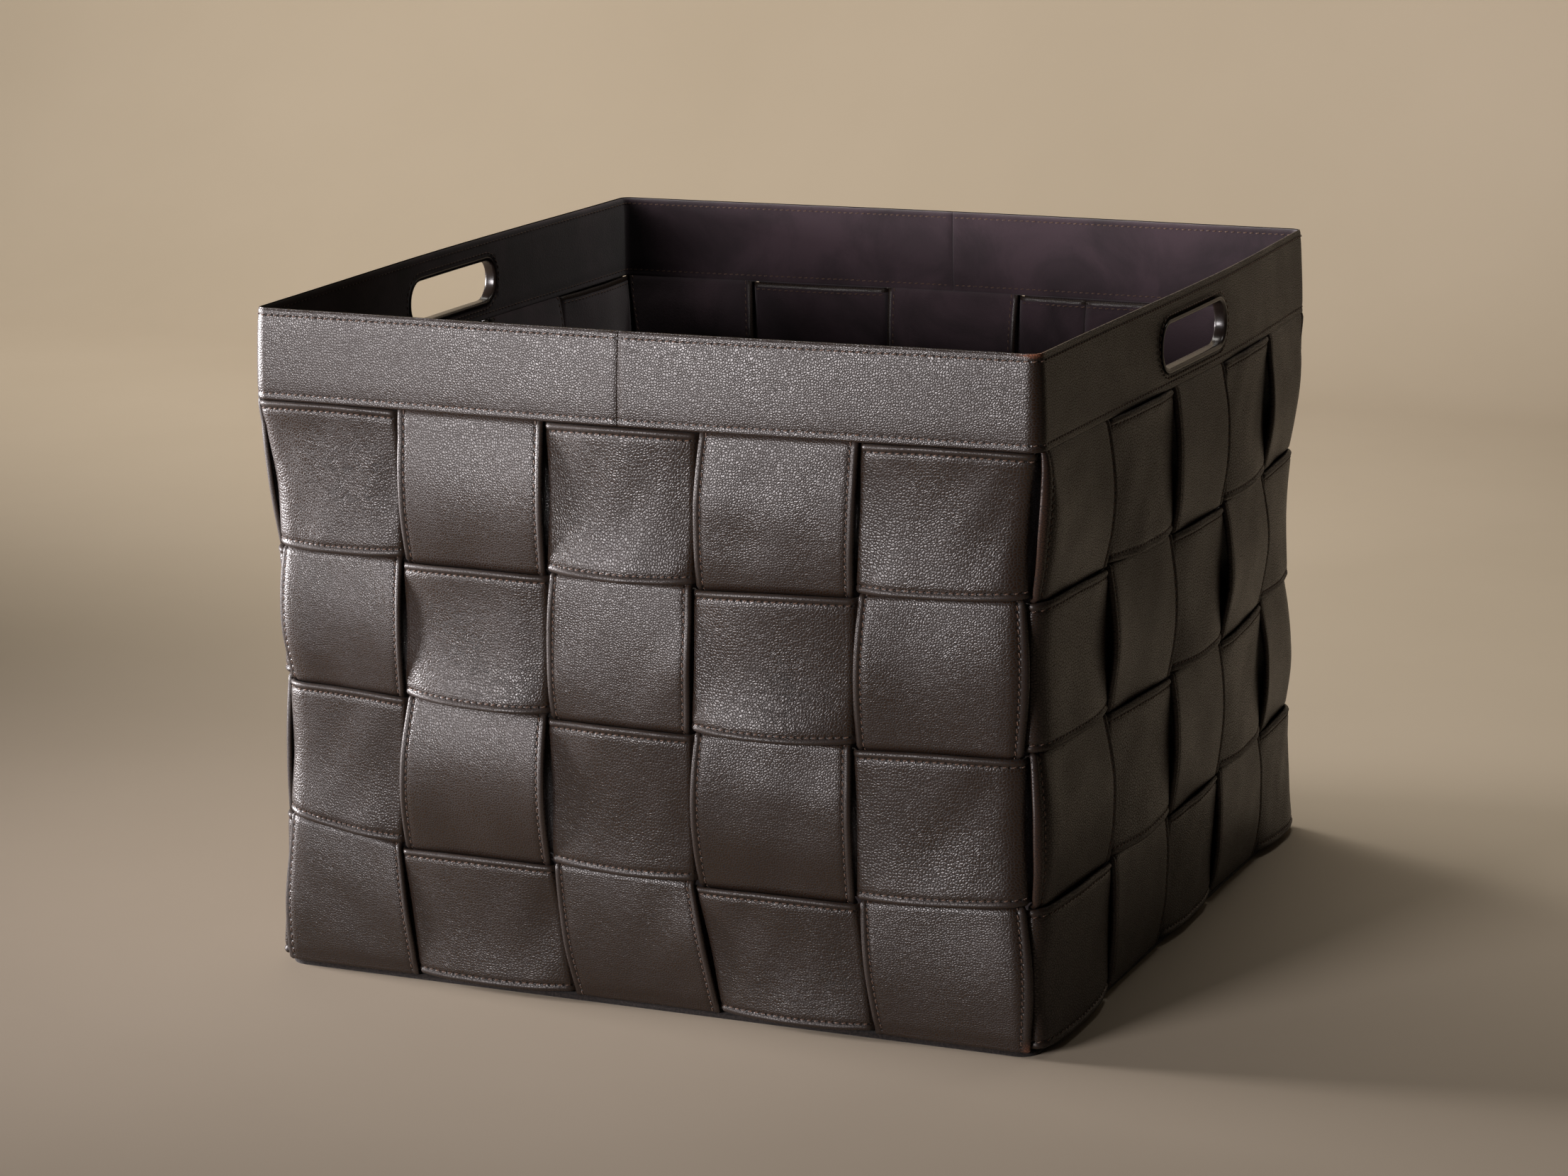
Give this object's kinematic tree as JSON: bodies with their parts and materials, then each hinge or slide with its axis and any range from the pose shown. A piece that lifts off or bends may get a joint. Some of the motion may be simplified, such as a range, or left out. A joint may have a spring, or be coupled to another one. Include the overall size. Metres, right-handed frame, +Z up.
{
  "type": "storage basket",
  "caption": "Open-topped square basket of wide leather straps woven over and under, with a stitched collar and a grip slot through each of two opposite walls.",
  "frame": {"origin": "middle of the underside, on the surface that the basket stands on", "axes": "+Z up out of the open top, +X towards the right wall, which has one of the grip slots, and -Y towards the front wall, which has the collar's seam in its middle"},
  "size_m": [0.5116, 0.5286, 0.4],
  "materials": {
    "grain_leather": "pebbled dark brown grain, soft sheen, suede on the reverse",
    "suede": "napped dark purple-brown suede, matt",
    "edge_paint": "smooth burnished and painted dark edge, glossy",
    "felt": "coarse black-brown pressed felt, matt",
    "fibre_board": "plain pressed fibre board, hidden",
    "thread": "waxed tan-brown sewing thread"
  },
  "bodies": {
    "root": {"band_1": "grain_leather", "band_2": "grain_leather", "band_3": "grain_leather", "band_4": "grain_leather", "strap_front_1": "grain_leather", "strap_front_2": "grain_leather", "strap_front_3": "grain_leather", "strap_front_4": "grain_leather", "strap_front_5": "grain_leather", "strap_right_1": "grain_leather", "strap_right_2": "grain_leather", "strap_right_3": "grain_leather", "strap_right_4": "grain_leather", "strap_right_5": "grain_leather", "strap_back_1": "grain_leather", "strap_back_2": "grain_leather", "strap_back_3": "grain_leather", "strap_back_4": "grain_leather", "strap_back_5": "grain_leather", "strap_left_1": "grain_leather", "strap_left_2": "grain_leather", "strap_left_3": "grain_leather", "strap_left_4": "grain_leather", "strap_left_5": "grain_leather", "collar_leather_right": "grain_leather", "collar_stiffener_right": "fibre_board", "collar_lining_right": "suede", "grip_facing_right": "edge_paint", "collar_leather_left": "grain_leather", "collar_stiffener_left": "fibre_board", "collar_lining_left": "suede", "grip_facing_left": "edge_paint", "base_cover": "felt", "base_board": "fibre_board", "base_lining": "suede"}
  },
  "joints": []
}
